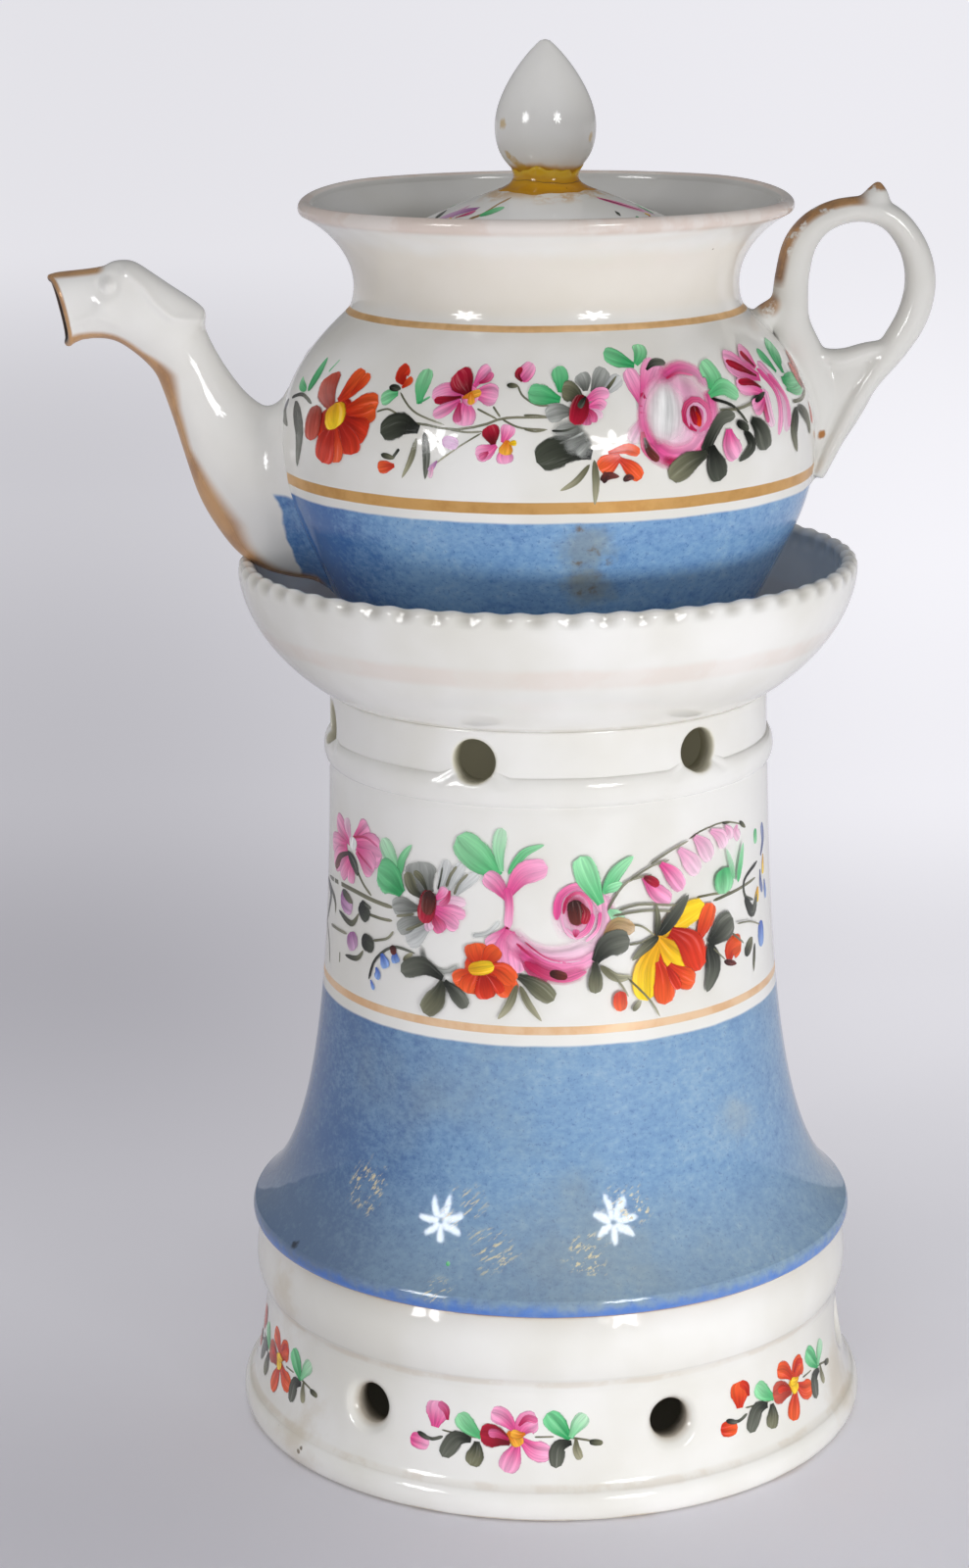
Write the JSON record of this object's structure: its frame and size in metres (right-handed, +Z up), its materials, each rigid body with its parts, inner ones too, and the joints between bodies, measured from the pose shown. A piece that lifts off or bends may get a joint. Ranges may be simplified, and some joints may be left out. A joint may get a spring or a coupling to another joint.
{
  "type": "veilleuse",
  "caption": "Porcelain tea warmer: a small teapot stands in the bowl of a hollow flared pedestal, which lifts off its base to reach an oil night-light.",
  "frame": {"origin": "on the vertical axis of the pedestal, in the plane of the table under the foot", "axes": "+Z up along the axis, +X towards the teapot's handle, -X towards its spout"},
  "size_m": [0.1556, 0.116, 0.25],
  "materials": {
    "porcelain": "gloss",
    "cement": "gloss",
    "cork": "matte",
    "tin": "satin",
    "cotton": "matte"
  },
  "bodies": {
    "base": {"base_plinth": "porcelain"},
    "pedestal": {"pedestal_column": "porcelain", "pedestal_bowl": "porcelain"},
    "teapot": {"teapot_body": "porcelain", "teapot_spout": "porcelain", "teapot_handle": "porcelain"},
    "lid": {"lid_cover": "porcelain", "lid_finial": "porcelain", "finial_cement": "cement"},
    "lamp": {"lamp_cup": "porcelain", "lamp_handle": "porcelain"},
    "float": {"float_cork": "cork", "float_plate": "tin", "float_wick": "cotton"}
  },
  "joints": [
    {"name": "pedestal_lift", "type": "slide", "parent": "base", "child": "pedestal", "axis": [0, 0, 1], "range_m": [0, 0.06]},
    {"name": "teapot_lift", "type": "slide", "parent": "pedestal", "child": "teapot", "axis": [0, 0, 1], "range_m": [0, 0.045]},
    {"name": "lid_lift", "type": "slide", "parent": "teapot", "child": "lid", "axis": [0, 0, 1], "range_m": [0, 0.04]},
    {"name": "lamp_lift", "type": "slide", "parent": "base", "child": "lamp", "axis": [0, 0, 1], "range_m": [0, 0.045]},
    {"name": "float_lift", "type": "slide", "parent": "lamp", "child": "float", "axis": [0, 0, 1], "range_m": [0, 0.03]}
  ]
}
